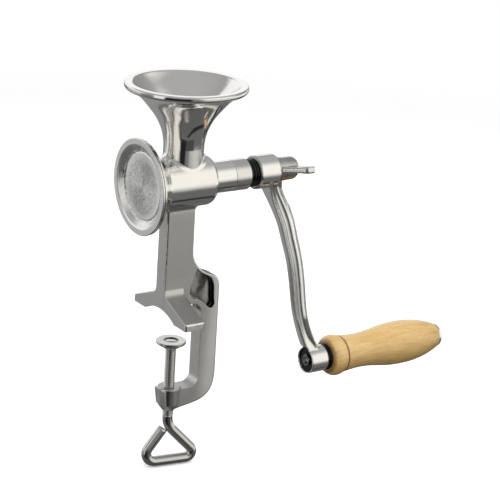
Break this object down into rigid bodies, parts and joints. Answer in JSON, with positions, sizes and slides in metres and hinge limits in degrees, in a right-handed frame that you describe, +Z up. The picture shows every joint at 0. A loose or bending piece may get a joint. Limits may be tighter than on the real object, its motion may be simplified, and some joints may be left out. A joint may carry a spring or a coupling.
{
  "type": "hand crank grain mill",
  "caption": "Table-clamped hand mill with a trumpet hopper, dished grinding disc, worm-fed burrs, curved crank with a turned wooden grip, wing nut and clamp screw.",
  "frame": {"origin": "on the plane of the foot soles, above the axis of the clamp screw, where the mill sits on the table edge", "axes": "+X along the drive shaft towards the crank, +Z up, away from the table top"},
  "size_m": [0.294, 0.0876, 0.2924],
  "materials": {
    "polished_casting": "polished casting, satin on the column and foot",
    "disc_casting": "matt cast floor, brushed rim",
    "worm_casting": "tinned casting",
    "burr_iron": "hardened, ground teeth",
    "cast_nut": "grainy plated casting",
    "turned_steel": "turned",
    "polished_steel": "polished dome",
    "bent_steel": "bright bent rod with a cut thread",
    "black_rubber": "matt moulded",
    "black_plastic": "moulded",
    "lacquered_wood": "lacquered, turned"
  },
  "bodies": {
    "mill_body": {"body_casting": "polished_casting", "bearing_bush": "turned_steel", "fixed_burr": "burr_iron", "fixed_burr_screws": "turned_steel"},
    "crank": {"crank_arm": "polished_casting", "tension_rings": "black_rubber", "grip_bush": "black_plastic", "grip_collar": "black_plastic", "grip_bolt": "polished_steel", "grip_nut": "turned_steel"},
    "grip": {"wooden_grip": "lacquered_wood"},
    "drive": {"drive_shaft": "turned_steel", "feed_auger": "worm_casting", "auger_pin": "turned_steel", "grinding_disc": "disc_casting", "disc_pin": "turned_steel", "rotating_burr": "burr_iron", "rotating_burr_screws": "turned_steel"},
    "wing_nut": {"wing_nut": "cast_nut"},
    "pad": {"pressure_pad": "turned_steel"},
    "clamp": {"clamp_screw": "bent_steel"}
  },
  "joints": [
    {"name": "crank_turn", "type": "hinge", "parent": "mill_body", "child": "crank", "pos_m": [0.072, 0, 0.1], "axis": [1, 0, 0], "continuous": true},
    {"name": "grip_spin", "type": "hinge", "parent": "crank", "child": "grip", "pos_m": [0.196, 0, -0.0581], "axis": [1, 0, 0], "continuous": true},
    {"name": "wing_nut_turn", "type": "hinge", "parent": "crank", "child": "wing_nut", "pos_m": [0.09, 0, 0.1], "axis": [1, 0, 0], "range_deg": [0, 577]},
    {"name": "burr_gap", "type": "slide", "parent": "crank", "child": "drive", "axis": [-1, 0, 0], "range_m": [0, 0.002]},
    {"name": "clamp_feed", "type": "slide", "parent": "mill_body", "child": "pad", "axis": [0, 0, 1], "range_m": [-0.03, 0.004]},
    {"name": "clamp_screw_turn", "type": "hinge", "parent": "pad", "child": "clamp", "pos_m": [0, 0, -0.05], "axis": [0, 0, 1], "range_deg": [-8641, 1153]}
  ],
  "couplings": [
    {"joint": "wing_nut_turn", "follows": "burr_gap", "rad_per_m": 5026.5},
    {"joint": "clamp_screw_turn", "follows": "clamp_feed", "rad_per_m": 5026.5}
  ]
}
